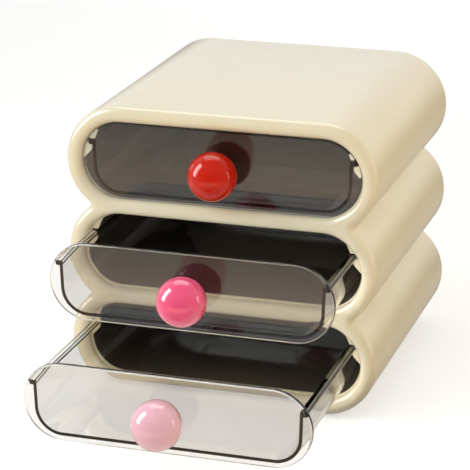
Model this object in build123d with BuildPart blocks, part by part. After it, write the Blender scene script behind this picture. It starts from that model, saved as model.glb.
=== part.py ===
from build123d import *
import os
from math import cos, radians, sqrt, tan

# Sizes are in millimetres. The box faces -Y and its foot pads stand on z = 0.

# Housing
housing_width = 250.0
housing_depth = 237.0
bay_height = 62.6
rim_width = 12.4
web_width = 11.8
rim_flat = 0.2
valley_radius = 3.0
rear_edge_radius = 1.2
skin_thickness = 3.5

# Stop flange in each opening, which meets the drawer's panel and hides the liner's end
flange_width = 0.8
flange_thickness = 2.0
flange_gap = 0.4

# Bay liners, which carry the rails and stand between the flanges and the back cover
liner_wall = 2.4
liner_seat = 1.2
liner_gap = 0.2
liner_end_gap = 0.2

# Back cover, set into the housing's rear edge
cover_thickness = 3.0
cover_recess = 1.2
cover_gap = 0.25

# Non-slip foot pads, let into the underside
foot_diameter = 12.0
foot_thickness = 2.0
foot_proud = 1.0
foot_gap = 0.1
foot_edge_chamfer = 0.3
foot_side_inset = 11.0
foot_end_inset = 24.0

# Drawers: front panel, tray and runners
panel_thickness = 4.0
panel_recess = 4.5
panel_gap = 0.5
panel_front_radius = 1.4
panel_back_radius = 0.6
tray_wall = 2.6
tray_lean = 2.0
tray_corner_radius = 21.5
tray_floor_gap = 3.8
tray_side_gap = 8.0
tray_rear_gap = 3.0
runner_gap = 1.1
runner_thickness = 3.9
runner_height = 11.0
runner_edge_radius = 1.5

# How far each drawer is pulled out
bottom_drawer_out = 132.0
middle_drawer_out = 74.0
top_drawer_out = 0.0

# Rails in the bay liners, which carry the runners between an upper and a lower lip
rail_gap = 0.3
rail_headroom = 0.9
rail_side_gap = 0.6
upper_lip_overlap = 1.8
upper_lip_drop = 4.8
lower_lip_gap = 0.6
lower_lip_face = 3.7
lower_lip_height = 11.7
lower_lip_radius = 5.0

# Ball knobs and their fixings
knob_diameter = 38.0
knob_seat_diameter = 12.0
insert_diameter = 5.0
insert_length = 8.0
insert_setback = 0.5
insert_waist_depth = 0.4
insert_waist_length = 2.4
insert_gap = 0.05
bore_end_room = 1.5
screw_diameter = 3.0
screw_grip = 7.2
screw_thread_gap = 0.05
screw_hole_gap = 0.2
screw_head_diameter = 5.6
screw_head_height = 2.4
screw_head_rim = 0.9
screw_recess_length = 3.2
screw_recess_width = 0.7
screw_recess_depth = 1.2
washer_diameter = 9.0
washer_thickness = 0.8
washer_gap = 0.1

# Sizes that follow from the ones above
tier_height = bay_height + 2 * rim_width
tier_pitch = bay_height + web_width
rim_inner_radius = (web_width - rim_flat) / 2
rim_outer_radius = rim_width - rim_inner_radius - rim_flat
bay_width = housing_width - 2 * rim_width
bay_round = bay_height / 2
bottom_tier = foot_proud + tier_height / 2
middle_tier = bottom_tier + tier_pitch
top_tier = middle_tier + tier_pitch
tiers = {"bottom": bottom_tier, "middle": middle_tier, "top": top_tier}
tier_points = [(0, height) for height in tiers.values()]

front_y = -housing_depth / 2
panel_front_y = front_y + panel_recess
panel_back_y = panel_front_y + panel_thickness
flange_front_y = panel_back_y + flange_gap
liner_front_y = flange_front_y + flange_thickness
rim_back_y = liner_front_y + liner_seat
rear_y = housing_depth / 2
cover_front_y = rear_y - cover_recess - cover_thickness
liner_rear_y = cover_front_y + liner_seat - liner_end_gap
tray_rear_y = cover_front_y - tray_rear_gap


def bay_edge_x(height):
    """How far out the bay's round end lies at a height above the bay's middle."""
    return bay_width / 2 - bay_round + sqrt(bay_round**2 - height**2)


# Tray section, measured from the middle of its bay
tray_top = runner_height + runner_thickness
tray_bottom = tray_floor_gap - bay_round
tray_half_width = bay_width / 2 - tray_side_gap
runner_tip = bay_edge_x(tray_top) - runner_gap
lean = tan(radians(tray_lean))
tray_inner_half_width = tray_half_width - tray_wall / cos(radians(tray_lean))

# Rail section, measured from the middle of its bay
groove_bottom = runner_height - rail_gap
groove_top = tray_top + rail_headroom
groove_radius = runner_edge_radius + rail_gap
groove_outer_x = runner_tip + rail_side_gap
groove_mouth_x = tray_inner_half_width - groove_radius
upper_lip_x = tray_half_width - upper_lip_overlap
lower_lip_x = tray_half_width + lower_lip_gap


def upright(y, height=0):
    """A plane that faces the front of the box: its own x and y are the box's X and Z."""
    return Plane(origin=(0, y, height), x_dir=(1, 0, 0), z_dir=(0, -1, 0))


def lengthwise(y, height):
    """A level plane through a knob's axis, for half profiles that turn about that axis."""
    return Plane(origin=(0, y, height), x_dir=(1, 0, 0), z_dir=(0, 0, 1))


def tier_outline(inset):
    """Three rounded tiers that run into each other, drawn in by the inset, with soft valleys between."""
    with Locations(*tier_points):
        SlotOverall(housing_width - 2 * inset, tier_height - 2 * inset)
    by_width = vertices().group_by(Axis.X)
    fillet(by_width[0] + by_width[-1], valley_radius + inset)


def bay_outline(grow=0):
    """One drawer bay, grown all round."""
    SlotOverall(bay_width + 2 * grow, bay_height + 2 * grow)


def groove_outline(grow=0):
    """The rail grooves on the two sides of one bay, grown all round."""
    centre_x = (groove_mouth_x + groove_outer_x) / 2
    centre_z = (groove_bottom + groove_top) / 2
    with Locations((-centre_x, centre_z), (centre_x, centre_z)):
        RectangleRounded(
            groove_outer_x - groove_mouth_x + 2 * grow,
            groove_top - groove_bottom + 2 * grow,
            groove_radius + grow,
        )


def liner_outline(grow=0):
    """The outside of one bay liner, grown all round."""
    bay_outline(liner_wall + grow)
    groove_outline(liner_wall + grow)


# Rails of one bay: on each side an upper lip below the bay's top, and a lower lip that swells out
rail_top = bay_round - upper_lip_drop
rail_foot = groove_bottom - lower_lip_height
lower_lip_knee = (lower_lip_x, groove_bottom - lower_lip_face)
with BuildSketch() as rails:
    Polygon(
        (bay_edge_x(rail_top), rail_top),
        (upper_lip_x, groove_top),
        (lower_lip_x, groove_bottom),
        lower_lip_knee,
        (bay_edge_x(rail_foot), rail_foot),
        (bay_width / 2 + liner_wall, rail_foot),
        (bay_width / 2 + liner_wall, rail_top),
        align=None,
    )
    fillet(rails.vertices().sort_by_distance(lower_lip_knee)[0], lower_lip_radius)
    mirror(about=Plane.YZ)


def bay_section(inset=0):
    """The inside of one bay, drawn in by the inset, with a grooved rail on each side."""
    bay_outline(-inset)
    add(rails.sketch, mode=Mode.SUBTRACT)
    groove_outline()


os.makedirs("parts", exist_ok=True)


# Housing: three rounded tiers with a hollow inside, and a bull-nosed rim round each drawer opening
with BuildPart() as housing:
    with BuildSketch(upright(front_y)):
        tier_outline(0)
    extrude(amount=-housing_depth)
    fillet(housing.faces().sort_by(Axis.Y)[0].edges(), rim_outer_radius)
    fillet(housing.faces().sort_by(Axis.Y)[-1].edges(), rear_edge_radius)

    # The hollow for the bay liners, open to the back
    with BuildSketch(upright(rim_back_y)):
        tier_outline(skin_thickness)
    extrude(amount=rim_back_y - rear_y, mode=Mode.SUBTRACT)

    # Drawer openings, each with a stop flange and, behind it, a seat for the liner's end
    with BuildSketch(upright(front_y)):
        with Locations(*tier_points):
            bay_outline()
    extrude(amount=front_y - flange_front_y, mode=Mode.SUBTRACT)
    with BuildSketch(upright(flange_front_y)):
        with Locations(*tier_points):
            bay_section(flange_width)
    extrude(amount=-flange_thickness, mode=Mode.SUBTRACT)
    with BuildSketch(upright(liner_front_y)):
        with Locations(*tier_points):
            liner_outline(liner_gap)
    extrude(amount=-liner_seat, mode=Mode.SUBTRACT)
    fillet(housing.faces().sort_by(Axis.Y)[0].inner_wires().edges(), rim_inner_radius)

    # Pockets for the foot pads
    foot_spacing_x = housing_width - tier_height - 2 * foot_side_inset
    foot_spacing_y = housing_depth - 2 * foot_end_inset
    with BuildSketch(Plane.XY.offset(foot_proud)):
        with GridLocations(foot_spacing_x, foot_spacing_y, 2, 2):
            Circle(foot_diameter / 2 + foot_gap)
    extrude(amount=foot_thickness - foot_proud, mode=Mode.SUBTRACT)

housing.part.label = "housing"
export_step(housing.part, "parts/housing.step")


# Bay liners: a sleeve for each drawer, with a grooved rail along each side
for tier, height in tiers.items():
    with BuildPart() as liner:
        with BuildSketch(upright(liner_front_y, height)):
            liner_outline()
        extrude(amount=liner_front_y - liner_rear_y)
        with BuildSketch(upright(liner_front_y, height)):
            bay_section()
        extrude(amount=liner_front_y - liner_rear_y, mode=Mode.SUBTRACT)
    liner.part.label = f"{tier}_bay_liner"
    export_step(liner.part, f"parts/{tier}_bay_liner.step")


# Back cover: a plate of the tiers' outline, with a shallow pocket for each liner's end
with BuildPart() as back_cover:
    with BuildSketch(upright(cover_front_y)):
        tier_outline(skin_thickness + cover_gap)
    extrude(amount=-cover_thickness)
    with BuildSketch(upright(cover_front_y)):
        with Locations(*tier_points):
            liner_outline(liner_gap)
    extrude(amount=-liner_seat, mode=Mode.SUBTRACT)

back_cover.part.label = "back_cover"
export_step(back_cover.part, "parts/back_cover.step")


# Foot pads
foot_places = {
    "front_left": (-1, -1),
    "front_right": (1, -1),
    "rear_left": (-1, 1),
    "rear_right": (1, 1),
}
for place, (across, along) in foot_places.items():
    with BuildPart() as foot:
        with BuildSketch(Plane.XY):
            with Locations((across * foot_spacing_x / 2, along * foot_spacing_y / 2)):
                Circle(foot_diameter / 2)
        extrude(amount=foot_thickness)
        chamfer(foot.faces().sort_by(Axis.Z)[0].edges(), foot_edge_chamfer)
    foot.part.label = f"{place}_foot"
    export_step(foot.part, f"parts/{place}_foot.step")


def tray_corners(half_width, bottom):
    """The corners of a tray section whose sides lean in towards its bottom."""
    corner_x = half_width - (tray_top - bottom) * lean
    return [(-half_width, tray_top), (-corner_x, bottom), (corner_x, bottom), (half_width, tray_top)]


outer_corners = tray_corners(tray_half_width, tray_bottom)
outer_radii = [0, tray_corner_radius, tray_corner_radius, 0]
inner_corners = tray_corners(tray_inner_half_width, tray_bottom + tray_wall)
inner_radii = [0, tray_corner_radius - tray_wall, tray_corner_radius - tray_wall, 0]


pulled_out = {"bottom": bottom_drawer_out, "middle": middle_drawer_out, "top": top_drawer_out}
for tier, drawer_out in pulled_out.items():
    height = tiers[tier]
    panel_y = panel_front_y - drawer_out
    tray_front_y = panel_back_y - drawer_out
    tray_length = tray_rear_y - panel_back_y
    knob_axis = Axis((0, panel_y, height), (0, 1, 0))

    # Drawer: a front panel that fills the opening, and behind it a tray that hangs on two runners
    with BuildPart() as drawer:
        with BuildSketch(upright(panel_y, height)):
            SlotOverall(bay_width - 2 * panel_gap, bay_height - 2 * panel_gap)
        extrude(amount=-panel_thickness)
        fillet(drawer.faces().sort_by(Axis.Y)[0].edges(), panel_front_radius)
        fillet(drawer.faces().sort_by(Axis.Y)[-1].edges(), panel_back_radius)
        with BuildSketch(upright(tray_front_y, height)):
            with BuildLine():
                FilletPolyline(*outer_corners, radius=outer_radii, close=True)
            make_face()
            with BuildLine():
                FilletPolyline(*inner_corners, radius=inner_radii, close=True)
            make_face(mode=Mode.SUBTRACT)
            runner_middle = (tray_inner_half_width + runner_tip) / 2
            with Locations((-runner_middle, tray_top), (runner_middle, tray_top)):
                RectangleRounded(
                    runner_tip - tray_inner_half_width,
                    runner_thickness,
                    runner_edge_radius,
                    align=(Align.CENTER, Align.MAX),
                )
        extrude(amount=-tray_length)
        with BuildSketch(upright(tray_front_y + tray_length - tray_wall, height)):
            with BuildLine():
                FilletPolyline(*outer_corners, radius=outer_radii, close=True)
            make_face()
        extrude(amount=-tray_wall)
        with BuildSketch(upright(panel_y, height)):
            Circle(screw_diameter / 2 + screw_hole_gap)
        extrude(amount=-panel_thickness, mode=Mode.SUBTRACT)
    drawer.part.label = f"{tier}_drawer"
    export_step(drawer.part, f"parts/{tier}_drawer.step")

    # Ball knob: a ball with a small flat seat and a blind bore for its insert
    knob_radius = knob_diameter / 2
    seat_radius = knob_seat_diameter / 2
    ball_centre = -sqrt(knob_radius**2 - seat_radius**2)
    insert_radius = insert_diameter / 2
    bore_radius = insert_radius + insert_gap
    bore_end = -insert_setback - insert_length - bore_end_room
    with BuildPart() as knob:
        with BuildSketch(lengthwise(panel_y, height)):
            with BuildLine():
                ThreePointArc(
                    (0, ball_centre - knob_radius), (knob_radius, ball_centre), (seat_radius, 0)
                )
                Polyline(
                    (seat_radius, 0),
                    (bore_radius, 0),
                    (bore_radius, bore_end),
                    (0, bore_end),
                    (0, ball_centre - knob_radius),
                )
            make_face()
        revolve(axis=knob_axis)
    knob.part.label = f"{tier}_knob"
    export_step(knob.part, f"parts/{tier}_knob.step")

    # Threaded insert in the ball, waisted so that the ball's plastic grips it
    insert_front = -insert_setback - insert_length
    insert_middle = -insert_setback - insert_length / 2
    thread_radius = screw_diameter / 2 + screw_thread_gap
    waist_radius = insert_radius - insert_waist_depth
    with BuildPart() as insert:
        with BuildSketch(lengthwise(panel_y, height)):
            with BuildLine():
                Polyline(
                    (thread_radius, insert_front),
                    (insert_radius, insert_front),
                    (insert_radius, insert_middle - insert_waist_length / 2),
                    (waist_radius, insert_middle - insert_waist_length / 2),
                    (waist_radius, insert_middle + insert_waist_length / 2),
                    (insert_radius, insert_middle + insert_waist_length / 2),
                    (insert_radius, -insert_setback),
                    (thread_radius, -insert_setback),
                    close=True,
                )
            make_face()
        revolve(axis=knob_axis)
    insert.part.label = f"{tier}_knob_insert"
    export_step(insert.part, f"parts/{tier}_knob_insert.step")

    # Washer between the screw's head and the panel
    with BuildPart() as washer:
        with BuildSketch(upright(tray_front_y, height)):
            Circle(washer_diameter / 2)
            Circle(screw_diameter / 2 + washer_gap, mode=Mode.SUBTRACT)
        extrude(amount=-washer_thickness)
    washer.part.label = f"{tier}_knob_washer"
    export_step(washer.part, f"parts/{tier}_knob_washer.step")

    # Pan-head screw, put in from inside the drawer
    head_seat = panel_thickness + washer_thickness
    head_top = head_seat + screw_head_height
    screw_radius = screw_diameter / 2
    head_radius = screw_head_diameter / 2
    with BuildPart() as screw:
        with BuildSketch(lengthwise(panel_y, height)):
            with BuildLine():
                Polyline(
                    (0, head_top),
                    (0, -screw_grip),
                    (screw_radius, -screw_grip),
                    (screw_radius, head_seat),
                    (head_radius, head_seat),
                    (head_radius, head_seat + screw_head_rim),
                )
                TangentArc((0, head_top), (head_radius, head_seat + screw_head_rim), tangent=(1, 0))
            make_face()
        revolve(axis=knob_axis)
        with BuildSketch(upright(panel_y + head_top, height)):
            Rectangle(screw_recess_length, screw_recess_width)
            Rectangle(screw_recess_width, screw_recess_length)
        extrude(amount=screw_recess_depth, mode=Mode.SUBTRACT)
    screw.part.label = f"{tier}_knob_screw"
    export_step(screw.part, f"parts/{tier}_knob_screw.step")
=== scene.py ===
from math import asin, atan2, cos, pi, radians, sin, sqrt, tan

import bmesh
import bpy
from mathutils import Matrix, Vector
from mathutils.geometry import tessellate_polygon


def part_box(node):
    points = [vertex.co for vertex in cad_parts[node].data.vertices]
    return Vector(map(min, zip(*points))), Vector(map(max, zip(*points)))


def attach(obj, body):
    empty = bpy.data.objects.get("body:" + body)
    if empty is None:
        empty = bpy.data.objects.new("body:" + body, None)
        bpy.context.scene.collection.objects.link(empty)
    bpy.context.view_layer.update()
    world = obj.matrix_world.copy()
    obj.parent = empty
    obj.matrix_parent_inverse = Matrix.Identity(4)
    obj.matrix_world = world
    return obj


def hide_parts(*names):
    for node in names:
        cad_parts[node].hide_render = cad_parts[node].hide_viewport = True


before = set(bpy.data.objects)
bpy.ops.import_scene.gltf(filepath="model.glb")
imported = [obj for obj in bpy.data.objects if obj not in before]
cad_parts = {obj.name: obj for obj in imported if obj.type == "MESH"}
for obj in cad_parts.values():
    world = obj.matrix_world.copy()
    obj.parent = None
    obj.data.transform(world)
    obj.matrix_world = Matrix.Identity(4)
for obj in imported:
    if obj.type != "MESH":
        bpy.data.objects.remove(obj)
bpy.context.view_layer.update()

scene = bpy.context.scene
mm = 0.001
TIERS = ("bottom", "middle", "top")
FEET = ("front_left", "front_right", "rear_left", "rear_right")

# Driving sizes that the frame's boxes don't give
rim_outer_radius = 6.4 * mm
rim_inner_radius = 5.8 * mm
valley_radius = 3.0 * mm
rear_edge_radius = 1.2 * mm
skin_thickness = 3.5 * mm
foot_gap = 0.1 * mm
liner_wall = 2.4 * mm
liner_seat = 1.2 * mm
liner_gap = 0.2 * mm
flange_width = 0.8 * mm
flange_thickness = 2.0 * mm
panel_thickness = 4.0 * mm
panel_front_radius = 1.4 * mm
panel_back_radius = 0.6 * mm
tray_wall = 2.6 * mm
tray_lean = radians(2.0)
tray_corner_radius = 21.5 * mm
tray_floor_gap = 3.8 * mm
tray_side_gap = 8.0 * mm
runner_gap = 1.1 * mm
runner_height = 11.0 * mm
runner_thickness = 3.9 * mm
runner_edge_radius = 1.5 * mm
rail_gap = 0.3 * mm
rail_headroom = 0.9 * mm
rail_side_gap = 0.6 * mm
upper_lip_overlap = 1.8 * mm
upper_lip_drop = 4.8 * mm
lower_lip_gap = 0.6 * mm
lower_lip_face = 3.7 * mm
lower_lip_height = 11.7 * mm
lower_lip_radius = 5.0 * mm
screw_hole_radius = 1.7 * mm
knob_seat_radius = 6.0 * mm
knob_seat_edge = 0.4 * mm
knob_bore_radius = 2.55 * mm
knob_bore_depth = 10.0 * mm

# Sizes read from the frame
housing_low, housing_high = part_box("housing")
front_y, rear_y = housing_low.y, housing_high.y
liner_boxes = [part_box(f"{tier}_bay_liner") for tier in TIERS]
liner_low, liner_high = liner_boxes[0]
tier_heights = [(low.z + high.z) / 2 for low, high in liner_boxes]
tier_pitch = tier_heights[1] - tier_heights[0]
tier_radius = tier_heights[0] - housing_low.z
side_x = housing_high.x - tier_radius
bay_round = (liner_high.z - liner_low.z) / 2 - liner_wall
bay_half_width = side_x + bay_round
liner_front_y, liner_rear_y = liner_low.y, liner_high.y
flange_front_y = liner_front_y - flange_thickness
rim_back_y = liner_front_y + liner_seat


def bay_edge_x(height):
    """How far out the bay's round end lies at a height above the bay's middle."""
    return side_x + sqrt(bay_round**2 - height**2)


# Tray section, measured from the middle of its bay
tray_top = runner_height + runner_thickness
tray_bottom = tray_floor_gap - bay_round
tray_half_width = bay_half_width - tray_side_gap
tray_inner_half_width = tray_half_width - tray_wall / cos(tray_lean)
runner_tip = bay_edge_x(tray_top) - runner_gap

# Rail section, measured from the middle of its bay
groove_bottom = runner_height - rail_gap
groove_top = tray_top + rail_headroom
groove_radius = runner_edge_radius + rail_gap
groove_outer_x = runner_tip + rail_side_gap
upper_lip_x = tray_half_width - upper_lip_overlap
lower_lip_x = tray_half_width + lower_lip_gap
rail_top = bay_round - upper_lip_drop
rail_foot = groove_bottom - lower_lip_height
lower_lip_knee = (lower_lip_x, groove_bottom - lower_lip_face)

# How finely round stretches are drawn, and the turn between faces from which an edge looks crisp
arc_step = radians(3.0)
small_arc_steps = 8
crisp_turn = radians(35)


# Outlines and sections, as lists of points
def arc(centre_x, centre_z, radius, start, end, steps=None):
    """Points along an arc, both ends included."""
    count = steps or max(2, round(abs(end - start) / arc_step))
    angles = [start + (end - start) * i / count for i in range(count + 1)]
    return [(centre_x + radius * cos(a), centre_z + radius * sin(a)) for a in angles]


def circle(centre_x, centre_z, radius):
    """Points round a full circle."""
    return arc(centre_x, centre_z, radius, 0, 2 * pi)[:-1]


def quarter_round(radius):
    """Steps round a quarter circle: how far in from the side and how far from the end."""
    turns = [pi / 2 * i / small_arc_steps for i in range(small_arc_steps + 1)]
    return [(radius * (1 - sin(turn)), radius * (1 - cos(turn))) for turn in turns]


def mirrored(right):
    """A closed outline from its right half, which runs from the bottom to the top."""
    return right + [(-x, z) for x, z in reversed(right)]


def tier_loop(inset):
    """The three tiers' outline, drawn in by the inset, with soft valleys between them."""
    reach = tier_radius + valley_radius
    turn = asin(tier_pitch / 2 / reach)
    valley_x = side_x + reach * cos(turn)
    right = []
    for number, height in enumerate(tier_heights):
        lowest = number == 0
        highest = number == len(tier_heights) - 1
        start = -pi / 2 if lowest else -turn
        end = pi / 2 if highest else turn
        right += arc(side_x, height, tier_radius - inset, start, end)
        if not highest:
            valley_z = height + tier_pitch / 2
            valley = arc(valley_x, valley_z, valley_radius + inset, pi + turn, pi - turn)
            right += valley[1:-1]
    return mirrored(right)


def slot_loop(height, radius):
    """A slot's outline that is concentric with a bay."""
    return mirrored(arc(side_x, height, radius, -pi / 2, pi / 2))


def turn_where_met(start, end, radius):
    """The angle on a circle about the bay's round end where a line from inside it passes out."""
    start_x, start_z = start[0] - side_x, start[1]
    run_x, run_z = end[0] - start[0], end[1] - start[1]
    run = run_x**2 + run_z**2
    half = (start_x * run_x + start_z * run_z) / run
    rest = (start_x**2 + start_z**2 - radius**2) / run
    share = sqrt(half**2 - rest) - half
    return atan2(start_z + share * run_z, start_x + share * run_x)


def bay_section(height, inset=0.0):
    """The inside of a bay, drawn in by the inset, with a grooved rail on each side."""
    radius = bay_round - inset
    foot = (bay_edge_x(rail_foot), rail_foot)
    top = (bay_edge_x(rail_top), rail_top)
    knee_x, knee_z = lower_lip_knee
    knee_turn = atan2(foot[0] - knee_x, knee_z - foot[1])
    knee_arc_x = knee_x + lower_lip_radius
    knee_arc_z = knee_z + lower_lip_radius * tan(knee_turn / 2)
    corner_x = groove_outer_x - groove_radius
    right = arc(side_x, 0, radius, -pi / 2, turn_where_met(lower_lip_knee, foot, radius))
    right += arc(knee_arc_x, knee_arc_z, lower_lip_radius, pi + knee_turn, pi, small_arc_steps)
    right.append((lower_lip_x, groove_bottom))
    right += arc(corner_x, groove_bottom + groove_radius, groove_radius, -pi / 2, 0, small_arc_steps)
    right += arc(corner_x, groove_top - groove_radius, groove_radius, 0, pi / 2, small_arc_steps)
    right.append((upper_lip_x, groove_top))
    right += arc(side_x, 0, radius, turn_where_met(right[-1], top, radius), pi / 2)
    return mirrored([(x, z + height) for x, z in right])


def tray_chains(height):
    """The tray section's outer and inner lines, from the right runner's inner corner to the left one's."""
    corner_z = tray_bottom + tray_corner_radius
    lean_in = (tray_top - corner_z) * tan(tray_lean)
    corner_x = tray_half_width - lean_in - tray_corner_radius / cos(tray_lean)
    inner_radius = tray_corner_radius - tray_wall
    wall_x = tray_half_width - (tray_top - runner_height) * tan(tray_lean)
    edge_x = runner_tip - runner_edge_radius
    upper_edge_z = tray_top - runner_edge_radius
    lower_edge_z = runner_height + runner_edge_radius
    outer = [(tray_inner_half_width, tray_top)]
    outer += arc(edge_x, upper_edge_z, runner_edge_radius, pi / 2, 0, small_arc_steps)
    outer += arc(edge_x, lower_edge_z, runner_edge_radius, 0, -pi / 2, small_arc_steps)
    outer.append((wall_x, runner_height))
    outer += arc(corner_x, corner_z, tray_corner_radius, -tray_lean, -pi / 2)
    inner = [(tray_inner_half_width, tray_top)]
    inner += arc(corner_x, corner_z, inner_radius, -tray_lean, -pi / 2)
    return [[(x, z + height) for x, z in mirrored(half)] for half in (outer, inner)]


# Meshes
def ring(mesh, loop, y):
    """A loop's vertices at one depth."""
    return [mesh.verts.new((x, y, z)) for x, z in loop]


def level_ring(mesh, loop, z):
    """A loop's vertices at one height."""
    return [mesh.verts.new((x, y, z)) for x, y in loop]


def skin(mesh, rings, closed=True):
    """Faces between rings of equal length."""
    count = len(rings[0])
    for first, second in zip(rings, rings[1:]):
        for i in range(count if closed else count - 1):
            j = (i + 1) % count
            mesh.faces.new((first[i], first[j], second[j], second[i]))


def cap(mesh, outline, holes=()):
    """Flat faces that fill an outline round its holes."""
    rings = [outline, *holes]
    corners = [vertex for each in rings for vertex in each]
    for triangle in tessellate_polygon([[vertex.co for vertex in each] for each in rings]):
        mesh.faces.new([corners[i] for i in triangle])


def piece_from(mesh, name, material):
    """A smooth-shaded object whose edges stay crisp where its faces turn sharply."""
    bmesh.ops.recalc_face_normals(mesh, faces=mesh.faces)
    for face in mesh.faces:
        face.smooth = True
    for edge in mesh.edges:
        edge.smooth = len(edge.link_faces) == 2 and edge.calc_face_angle() < crisp_turn
    data = bpy.data.meshes.new(name)
    mesh.to_mesh(data)
    mesh.free()
    data.materials.append(material)
    piece = bpy.data.objects.new(name, data)
    scene.collection.objects.link(piece)
    return piece


def place(piece, body, node):
    """The piece stands for a CAD node and moves with its body."""
    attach(piece, body)
    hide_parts(node)


# Materials
plastic_ior = 1.5
smoke_tint = (0.76, 0.745, 0.72, 1.0)
smoke_per_metre = 100.0

# The part of a noise's range that most of its values lie in
noise_low, noise_high = 0.3, 0.7


def shader(name):
    """A new node material, with its node tree and its Principled shader."""
    material = bpy.data.materials.new(name)
    material.use_nodes = True
    return material, material.node_tree, material.node_tree.nodes["Principled BSDF"]


def noise(tree, scale, detail):
    """Noise in the object's own space, with the scale counted per metre."""
    coordinates = tree.nodes.new("ShaderNodeTexCoord")
    texture = tree.nodes.new("ShaderNodeTexNoise")
    texture.inputs["Scale"].default_value = scale
    texture.inputs["Detail"].default_value = detail
    tree.links.new(coordinates.outputs["Object"], texture.inputs["Vector"])
    return texture.outputs["Fac"]


def ramp(tree, factor, stops, target):
    """A colour ramp over a factor, led into a socket."""
    node = tree.nodes.new("ShaderNodeValToRGB")
    elements = node.color_ramp.elements
    while len(elements) < len(stops):
        elements.new(1.0)
    for element, (position, colour) in zip(elements, stops):
        element.position = position
        element.color = (*colour, 1.0)
    tree.links.new(factor, node.inputs["Fac"])
    tree.links.new(node.outputs["Color"], target)


def clouded(tree, factor, dark, light, target, low=noise_low, high=noise_high):
    """A noise factor turned into a colour between two, led into a socket."""
    ramp(tree, factor, [(low, dark), (high, light)], target)


def spread(tree, factor, low, high, target):
    """A noise factor stretched between two values, led into a socket."""
    node = tree.nodes.new("ShaderNodeMapRange")
    node.inputs["From Min"].default_value = noise_low
    node.inputs["From Max"].default_value = noise_high
    node.inputs["To Min"].default_value = low
    node.inputs["To Max"].default_value = high
    tree.links.new(factor, node.inputs["Value"])
    tree.links.new(node.outputs["Result"], target)


def bump(tree, bsdf, height, strength, distance):
    """A fine relief on the shader's normal."""
    node = tree.nodes.new("ShaderNodeBump")
    node.inputs["Strength"].default_value = strength
    node.inputs["Distance"].default_value = distance
    tree.links.new(height, node.inputs["Height"])
    tree.links.new(node.outputs["Normal"], bsdf.inputs["Normal"])


def moulded(name, dark, light, roughness, coat=0.0, coat_roughness=0.04, shine=0.5, relief=0.02):
    """Injection-moulded plastic: faint clouding in its colour, uneven gloss, a trace of orange peel."""
    material, tree, bsdf = shader(name)
    clouded(tree, noise(tree, scale=14, detail=4), dark, light, bsdf.inputs["Base Color"])
    spread(tree, noise(tree, scale=60, detail=3), *roughness, bsdf.inputs["Roughness"])
    bump(tree, bsdf, noise(tree, scale=1400, detail=2), strength=relief, distance=0.1 * mm)
    bsdf.inputs["IOR"].default_value = plastic_ior
    bsdf.inputs["Specular IOR Level"].default_value = shine
    bsdf.inputs["Coat Weight"].default_value = coat
    bsdf.inputs["Coat Roughness"].default_value = coat_roughness
    return material


def clear_plastic(name, dark, light, roughness):
    """Smoky clear plastic: a trace of waviness, and a tint that deepens with the thickness."""
    material, tree, bsdf = shader(name)
    clouded(tree, noise(tree, scale=9, detail=2), dark, light, bsdf.inputs["Base Color"])
    spread(tree, noise(tree, scale=40, detail=3), *roughness, bsdf.inputs["Roughness"])
    bump(tree, bsdf, noise(tree, scale=30, detail=1), strength=0.02, distance=0.2 * mm)
    bsdf.inputs["IOR"].default_value = plastic_ior
    bsdf.inputs["Transmission Weight"].default_value = 1.0
    absorb = tree.nodes.new("ShaderNodeVolumeAbsorption")
    absorb.inputs["Color"].default_value = smoke_tint
    absorb.inputs["Density"].default_value = smoke_per_metre
    output = tree.nodes["Material Output"]
    tree.links.new(absorb.outputs["Volume"], output.inputs["Volume"])
    return material


def metal(name, dark, light, roughness):
    """Turned metal with fine uneven marks."""
    material, tree, bsdf = shader(name)
    marks = noise(tree, scale=700, detail=4)
    clouded(tree, marks, dark, light, bsdf.inputs["Base Color"], low=0.35, high=0.65)
    spread(tree, noise(tree, scale=1500, detail=3), *roughness, bsdf.inputs["Roughness"])
    bump(tree, bsdf, noise(tree, scale=2500, detail=2), strength=0.05, distance=0.05 * mm)
    bsdf.inputs["Metallic"].default_value = 1.0
    return material


cream = moulded(
    "cream_plastic",
    dark=(0.725, 0.645, 0.445),
    light=(0.750, 0.670, 0.470),
    roughness=(0.30, 0.38),
    coat=1.0,
    coat_roughness=0.16,
)
# The liner's near-black brown is painted shade: it stands in for the shade deep inside the bays, not the
# plastic's own colour
painted_shade_liner = moulded(
    "liner_plastic",
    dark=(0.052, 0.038, 0.025),
    light=(0.070, 0.052, 0.035),
    roughness=(0.40, 0.50),
    shine=0.2,
)
cover_cream = moulded(
    "cover_plastic",
    dark=(0.700, 0.625, 0.435),
    light=(0.730, 0.655, 0.460),
    roughness=(0.42, 0.52),
    relief=0.06,
)
rubber = moulded(
    "foot_rubber",
    dark=(0.33, 0.31, 0.28),
    light=(0.38, 0.36, 0.33),
    roughness=(0.7, 0.8),
    relief=0.1,
)
orange_red = moulded(
    "knob_orange_red",
    dark=(0.50, 0.010, 0.001),
    light=(0.56, 0.014, 0.002),
    roughness=(0.03, 0.06),
    shine=0.38,
)
hot_pink = moulded(
    "knob_hot_pink",
    dark=(0.80, 0.075, 0.19),
    light=(0.85, 0.095, 0.22),
    roughness=(0.06, 0.10),
    coat=0.6,
)
light_pink = moulded(
    "knob_light_pink",
    dark=(0.78, 0.42, 0.50),
    light=(0.83, 0.47, 0.55),
    roughness=(0.06, 0.10),
    coat=0.6,
)
clear = clear_plastic(
    "drawer_clear",
    dark=(0.95, 0.945, 0.94),
    light=(0.98, 0.975, 0.97),
    roughness=(0.0, 0.02),
)
brass = metal(
    "insert_brass",
    dark=(0.60, 0.42, 0.16),
    light=(0.70, 0.50, 0.22),
    roughness=(0.25, 0.40),
)
steel = metal(
    "screw_steel",
    dark=(0.52, 0.52, 0.53),
    light=(0.64, 0.64, 0.66),
    roughness=(0.22, 0.38),
)
washer_steel = metal(
    "washer_steel",
    dark=(0.50, 0.50, 0.51),
    light=(0.60, 0.60, 0.62),
    roughness=(0.28, 0.42),
)
knob_materials = {"bottom": light_pink, "middle": hot_pink, "top": orange_red}


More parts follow.
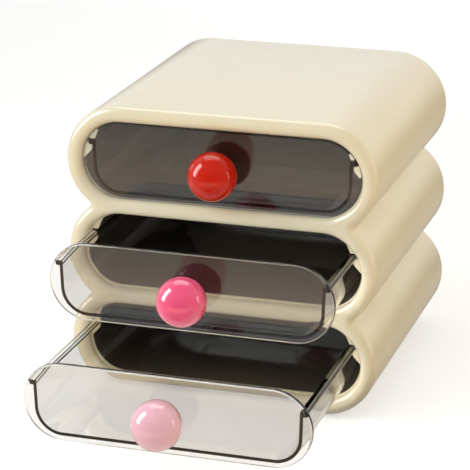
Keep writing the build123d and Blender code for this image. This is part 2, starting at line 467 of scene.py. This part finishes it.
def foot_pocket(mesh, foot):
    """The pocket for one foot pad. Gives its edge in the housing's underside."""
    low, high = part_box(f"{foot}_foot")
    centre = (low + high) / 2
    loop = circle(centre.x, centre.y, (high.x - low.x) / 2 + foot_gap)
    edge, end = [level_ring(mesh, loop, z) for z in (housing_low.z, high.z)]
    skin(mesh, [edge, end])
    cap(mesh, end)
    return edge


def make_housing():
    """One skin from the crest of the rims, over the outside and the back, to the seats of the liners."""
    mesh = bmesh.new()
    front = [ring(mesh, tier_loop(inset), front_y + y) for inset, y in quarter_round(rim_outer_radius)]
    rear = [
        ring(mesh, tier_loop(inset), rear_y - y)
        for inset, y in reversed(quarter_round(rear_edge_radius))
    ]
    rear.append(ring(mesh, tier_loop(skin_thickness), rear_y))
    rear.append(ring(mesh, tier_loop(skin_thickness), rim_back_y))
    skin(mesh, front)
    skin(mesh, [front[-1], rear[0]], closed=False)
    skin(mesh, rear)
    underside = [front[-1][0], front[-1][-1], rear[0][-1], rear[0][0]]
    cap(mesh, underside, [foot_pocket(mesh, foot) for foot in FEET])
    seat_radius = bay_round + liner_wall + liner_gap
    crests, seats = [], []
    for height in tier_heights:
        rim = [
            ring(mesh, slot_loop(height, bay_round + inset), front_y + y)
            for inset, y in quarter_round(rim_inner_radius)
        ]
        rim.append(ring(mesh, slot_loop(height, bay_round), flange_front_y))
        flange_loop = bay_section(height, flange_width)
        flange = [ring(mesh, flange_loop, y) for y in (flange_front_y, liner_front_y)]
        seat = [ring(mesh, slot_loop(height, seat_radius), y) for y in (liner_front_y, rim_back_y)]
        skin(mesh, rim)
        cap(mesh, rim[-1], [flange[0]])
        skin(mesh, flange)
        cap(mesh, seat[0], [flange[1]])
        skin(mesh, seat)
        crests.append(rim[0])
        seats.append(seat[-1])
    cap(mesh, front[0], crests)
    cap(mesh, rear[-1], seats)
    return piece_from(mesh, "housing_shell", cream)


def make_liner(tier, height):
    """A sleeve with a rail along each side, coloured near-black brown as painted shade for the deep bay."""
    mesh = bmesh.new()
    ends = (liner_front_y, liner_rear_y)
    outer = [ring(mesh, slot_loop(height, bay_round + liner_wall), y) for y in ends]
    inner = [ring(mesh, bay_section(height), y) for y in ends]
    skin(mesh, outer)
    skin(mesh, inner)
    for outside, inside in zip(outer, inner):
        cap(mesh, outside, [inside])
    return piece_from(mesh, f"{tier}_bay_sleeve", painted_shade_liner)


def make_drawer(tier, height):
    """A panel, a tray with round corners and two runners, in one clear moulding."""
    low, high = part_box(f"{tier}_drawer")
    panel_front, tray_rear = low.y, high.y
    panel_back = panel_front + panel_thickness
    rear_wall = tray_rear - tray_wall
    panel_round = high.x - side_x
    mesh = bmesh.new()

    # Panel with its screw hole
    panel = [
        ring(mesh, slot_loop(height, panel_round - inset), panel_front + y)
        for inset, y in quarter_round(panel_front_radius)
    ]
    panel += [
        ring(mesh, slot_loop(height, panel_round - inset), panel_back - y)
        for inset, y in reversed(quarter_round(panel_back_radius))
    ]
    skin(mesh, panel)
    hole = [ring(mesh, circle(0, height, screw_hole_radius), y) for y in (panel_front, panel_back)]
    skin(mesh, hole)
    cap(mesh, panel[0], [hole[0]])

    # Tray: its outside runs from the panel to the rear, and its inside ends at the rear wall
    outer_chain, inner_chain = tray_chains(height)
    outer = [ring(mesh, outer_chain, y) for y in (panel_back, tray_rear)]
    inner = [
        [start] + ring(mesh, inner_chain[1:-1], y) + [end]
        for y, start, end in (
            (panel_back, outer[0][0], outer[0][-1]),
            (rear_wall, *ring(mesh, [inner_chain[0], inner_chain[-1]], rear_wall)),
        )
    ]
    cap(mesh, panel[-1], [outer[0] + inner[0][-2:0:-1], hole[1]])
    skin(mesh, inner, closed=False)
    skin(mesh, [each[1:-1] for each in outer], closed=False)
    for inside, beside in ((0, 1), (-1, -2)):
        mesh.faces.new(
            (outer[0][inside], inner[1][inside], outer[1][inside], outer[1][beside], outer[0][beside])
        )
    mesh.faces.new((inner[1][0], inner[1][-1], outer[1][-1], outer[1][0]))
    cap(mesh, inner[1])
    cap(mesh, outer[1])
    drawer = piece_from(mesh, f"{tier}_clear_drawer", clear)
    drawer.visible_shadow = False
    return drawer


def make_knob(tier):
    """A turned ball with a soft-edged seat against the panel and a blind bore for its insert."""
    low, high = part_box(f"{tier}_knob")
    radius = (high.x - low.x) / 2
    centre_y = low.y + radius
    height = (low.z + high.z) / 2
    seat_edge_depth = knob_seat_edge / 4
    seat_turn = asin((knob_seat_radius + knob_seat_edge) / radius)
    steps = round((pi - seat_turn) / arc_step)
    turns = [(pi - seat_turn) * i / steps for i in range(1, steps + 1)]
    profile = [(radius * sin(turn), centre_y - radius * cos(turn)) for turn in turns]
    profile.append((knob_seat_radius, high.y - seat_edge_depth))
    profile.append((knob_seat_radius - knob_seat_edge, high.y))
    profile.append((knob_bore_radius, high.y))
    profile.append((knob_bore_radius, high.y - knob_bore_depth))
    mesh = bmesh.new()
    rings = [ring(mesh, circle(0, height, r), y) for r, y in profile]
    skin(mesh, rings)
    pole = mesh.verts.new((0, low.y, height))
    for i, vertex in enumerate(rings[0]):
        mesh.faces.new((pole, rings[0][i - 1], vertex))
    cap(mesh, rings[-1])
    return piece_from(mesh, f"{tier}_ball", knob_materials[tier])


def dress(node, material):
    """A CAD node that shows as it is gets its material."""
    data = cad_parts[node].data
    data.materials.clear()
    data.materials.append(material)


# The box and its drawers
place(make_housing(), "cabinet", "housing")
for tier, height in zip(TIERS, tier_heights):
    place(make_liner(tier, height), "cabinet", f"{tier}_bay_liner")
for tier, height in zip(TIERS, tier_heights):
    place(make_drawer(tier, height), f"{tier}_drawer_unit", f"{tier}_drawer")
for tier in TIERS:
    place(make_knob(tier), f"{tier}_drawer_unit", f"{tier}_knob")

dress("back_cover", cover_cream)
for foot in FEET:
    dress(f"{foot}_foot", rubber)
for tier in TIERS:
    dress(f"{tier}_knob_insert", brass)
    dress(f"{tier}_knob_screw", steel)
    dress(f"{tier}_knob_washer", washer_steel)


# Camera at the photograph's viewing angle
image_width = 470
focal_pixels = 2141.13
azimuth, elevation, roll = radians(18.008), radians(18.891), radians(-0.420)
camera_place = Vector((494.11, -1596.90, 675.89)) * mm
sensor_width = 36.0

back = Vector((sin(azimuth) * cos(elevation), -cos(azimuth) * cos(elevation), sin(elevation)))
level_right = Vector((cos(azimuth), sin(azimuth), 0))
level_up = back.cross(level_right)
camera_right = level_right * cos(roll) + level_up * sin(roll)
camera_up = level_up * cos(roll) - level_right * sin(roll)
camera_turn = Matrix((camera_right, camera_up, back)).transposed().to_4x4()
lens = bpy.data.cameras.new("camera")
lens.sensor_width = sensor_width
lens.lens = sensor_width * focal_pixels / image_width
camera = bpy.data.objects.new("camera", lens)
camera.matrix_world = Matrix.Translation(camera_place) @ camera_turn
scene.collection.objects.link(camera)
scene.camera = camera


# Stage, in metres
def make_floor():
    """White studio paper that curves up to a wall all round, and gives no light to the box."""
    flat_radius, bend_radius, wall_height = 2.6, 0.9, 3.0
    paper_dark, paper_light = (0.49, 0.49, 0.49), (0.51, 0.51, 0.51)
    paper_glow = 0.57
    material, tree, bsdf = shader("floor_paper")
    clouded(tree, noise(tree, scale=3, detail=2), paper_dark, paper_light, bsdf.inputs["Base Color"])
    spread(tree, noise(tree, scale=30, detail=2), 0.85, 0.95, bsdf.inputs["Roughness"])
    bsdf.inputs["Specular IOR Level"].default_value = 0.1
    bsdf.inputs["Emission Color"].default_value = (1.0, 1.0, 1.0, 1.0)
    bsdf.inputs["Emission Strength"].default_value = paper_glow
    bend = arc(flat_radius, bend_radius, bend_radius, -pi / 2, 0, small_arc_steps)
    profile = bend + [(flat_radius + bend_radius, wall_height)]
    mesh = bmesh.new()
    rings = [level_ring(mesh, circle(0, 0, radius), z) for radius, z in profile]
    skin(mesh, rings)
    cap(mesh, rings[0])
    floor = piece_from(mesh, "floor", material)
    floor.visible_diffuse = False
    floor.visible_glossy = False
    floor.visible_shadow = False


def make_ground_shade():
    """A dim unseen patch under the floor that keeps light from below off the lowest tier."""
    middle_x, middle_y, radius, drop = 0.13, 0.04, 0.25, 1.0 * mm
    shade_dark, shade_light = (0.16, 0.12, 0.07), (0.18, 0.14, 0.09)
    material, tree, bsdf = shader("ground_shade")
    clouded(tree, noise(tree, scale=3, detail=2), shade_dark, shade_light, bsdf.inputs["Base Color"])
    mesh = bmesh.new()
    cap(mesh, level_ring(mesh, circle(middle_x, middle_y, radius), -drop))
    shade = piece_from(mesh, "ground_shade", material)
    shade.visible_camera = False
    shade.visible_glossy = False
    shade.visible_transmission = False


make_floor()
make_ground_shade()


# Soft studio light: a tall key on the left, sheens that only gloss shows, and fills that gloss doesn't show
light_aim = Vector((0, 0, 0.12))


def softbox(name, direction, distance, size, power, colour=(1.0, 1.0, 1.0), spreads=True, mirrors=True):
    """A flat light that faces the box: it spreads light on dull surfaces, and gloss mirrors it."""
    light = bpy.data.lights.new(name, "AREA")
    light.shape = "RECTANGLE"
    light.size, light.size_y = size
    light.energy = power
    light.color = colour
    lamp = bpy.data.objects.new(name, light)
    outward = Vector(direction).normalized()
    lamp.rotation_euler = outward.to_track_quat("Z", "Y").to_euler()
    lamp.location = light_aim + outward * distance
    lamp.visible_camera = False
    lamp.visible_diffuse = spreads
    lamp.visible_glossy = mirrors
    scene.collection.objects.link(lamp)


cool, warm, creamy = (0.86, 0.94, 1.0), (1.0, 0.84, 0.52), (1.0, 0.95, 0.87)
softbox("key_light", (-0.84, -0.34, 0.46), distance=2.2, size=(0.9, 1.9), power=21)
softbox("key_sheen", (-0.84, -0.30, 0.46), distance=2.3, size=(0.7, 1.9), power=30, spreads=False)
softbox("top_sheen", (-0.15, 0.40, 0.90), distance=2.0, size=(1.6, 1.2), power=13, spreads=False)
softbox("side_sheen", (0.95, 0.15, 0.16), distance=2.2, size=(0.35, 0.9), power=4, spreads=False)
softbox("front_fill", (-0.1, -0.80, 0.50), 1.0, size=(0.8, 0.6), power=4.0, colour=cool, mirrors=False)
softbox("side_fill", (0.90, -0.10, 0.50), 0.9, size=(0.5, 0.5), power=2.3, colour=warm, mirrors=False)
softbox("back_fill", (0.20, 0.98, 0.0), 1.6, size=(1.2, 0.3), power=8.5, colour=creamy, mirrors=False)


def make_world():
    """A dome that is dim at the horizon, pale sides, a bright backdrop and a warm glow low in front."""
    world = bpy.data.worlds.new("studio")
    world.use_nodes = True
    tree = world.node_tree
    coordinates = tree.nodes.new("ShaderNodeTexCoord")
    axes = tree.nodes.new("ShaderNodeSeparateXYZ")
    tree.links.new(coordinates.outputs["Generated"], axes.inputs["Vector"])

    def along(axis):
        """How far a direction reaches along an axis, from 0 to 1."""
        reach = tree.nodes.new("ShaderNodeMapRange")
        reach.inputs["From Min"].default_value = -1.0
        reach.inputs["From Max"].default_value = 1.0
        tree.links.new(axes.outputs[axis], reach.inputs["Value"])
        return reach.outputs["Result"]

    def joined(kind):
        """A node that multiplies or adds two colours, with its two inputs and its output."""
        node = tree.nodes.new("ShaderNodeMix")
        node.data_type = "RGBA"
        node.blend_type = kind
        node.inputs["Factor"].default_value = 1.0
        first, second = [socket for socket in node.inputs if socket.type == "RGBA"]
        result = next(socket for socket in node.outputs if socket.type == "RGBA")
        return first, second, result

    # Stops run from down to up, from left to right and from front to back
    black, white = (0.0, 0.0, 0.0), (1.0, 1.0, 1.0)
    dome_stops = [
        (0.0, (1.05, 1.02, 0.98)),
        (0.2, (0.50, 0.43, 0.34)),
        (0.33, (0.58, 0.51, 0.42)),
        (0.48, (0.16, 0.15, 0.14)),
        (0.68, (0.17, 0.17, 0.17)),
        (0.8, (0.36, 0.36, 0.36)),
    ]
    side_stops = [
        (0.0, (0.45, 0.45, 0.45)),
        (0.3, black),
        (0.7, black),
        (1.0, (0.32, 0.25, 0.15)),
    ]
    backdrop_depth_stops = [(0.55, black), (0.95, (0.82, 0.82, 0.82))]
    backdrop_height_stops = [(0.42, black), (0.58, white)]
    glow_depth_stops = [(0.08, (1.3, 0.90, 0.58)), (0.25, black)]
    glow_height_stops = [(0.18, black), (0.33, white), (0.46, black)]

    backdrop_depth, backdrop_height, backdrop = joined("MULTIPLY")
    glow_depth, glow_height, glow = joined("MULTIPLY")
    dome, sides, dome_and_sides = joined("ADD")
    near, far, near_and_far = joined("ADD")
    all_round, in_front, everything = joined("ADD")
    ramp(tree, along("Z"), dome_stops, dome)
    ramp(tree, along("X"), side_stops, sides)
    ramp(tree, along("Y"), backdrop_depth_stops, backdrop_depth)
    ramp(tree, along("Z"), backdrop_height_stops, backdrop_height)
    ramp(tree, along("Y"), glow_depth_stops, glow_depth)
    ramp(tree, along("Z"), glow_height_stops, glow_height)
    tree.links.new(dome_and_sides, near)
    tree.links.new(backdrop, far)
    tree.links.new(near_and_far, all_round)
    tree.links.new(glow, in_front)
    tree.links.new(everything, tree.nodes["Background"].inputs["Color"])
    scene.world = world


make_world()

scene.view_settings.view_transform = "Standard"
scene.cycles.use_denoising = True
scene.cycles.max_bounces = 24
scene.cycles.transmission_bounces = 24
scene.cycles.glossy_bounces = 8
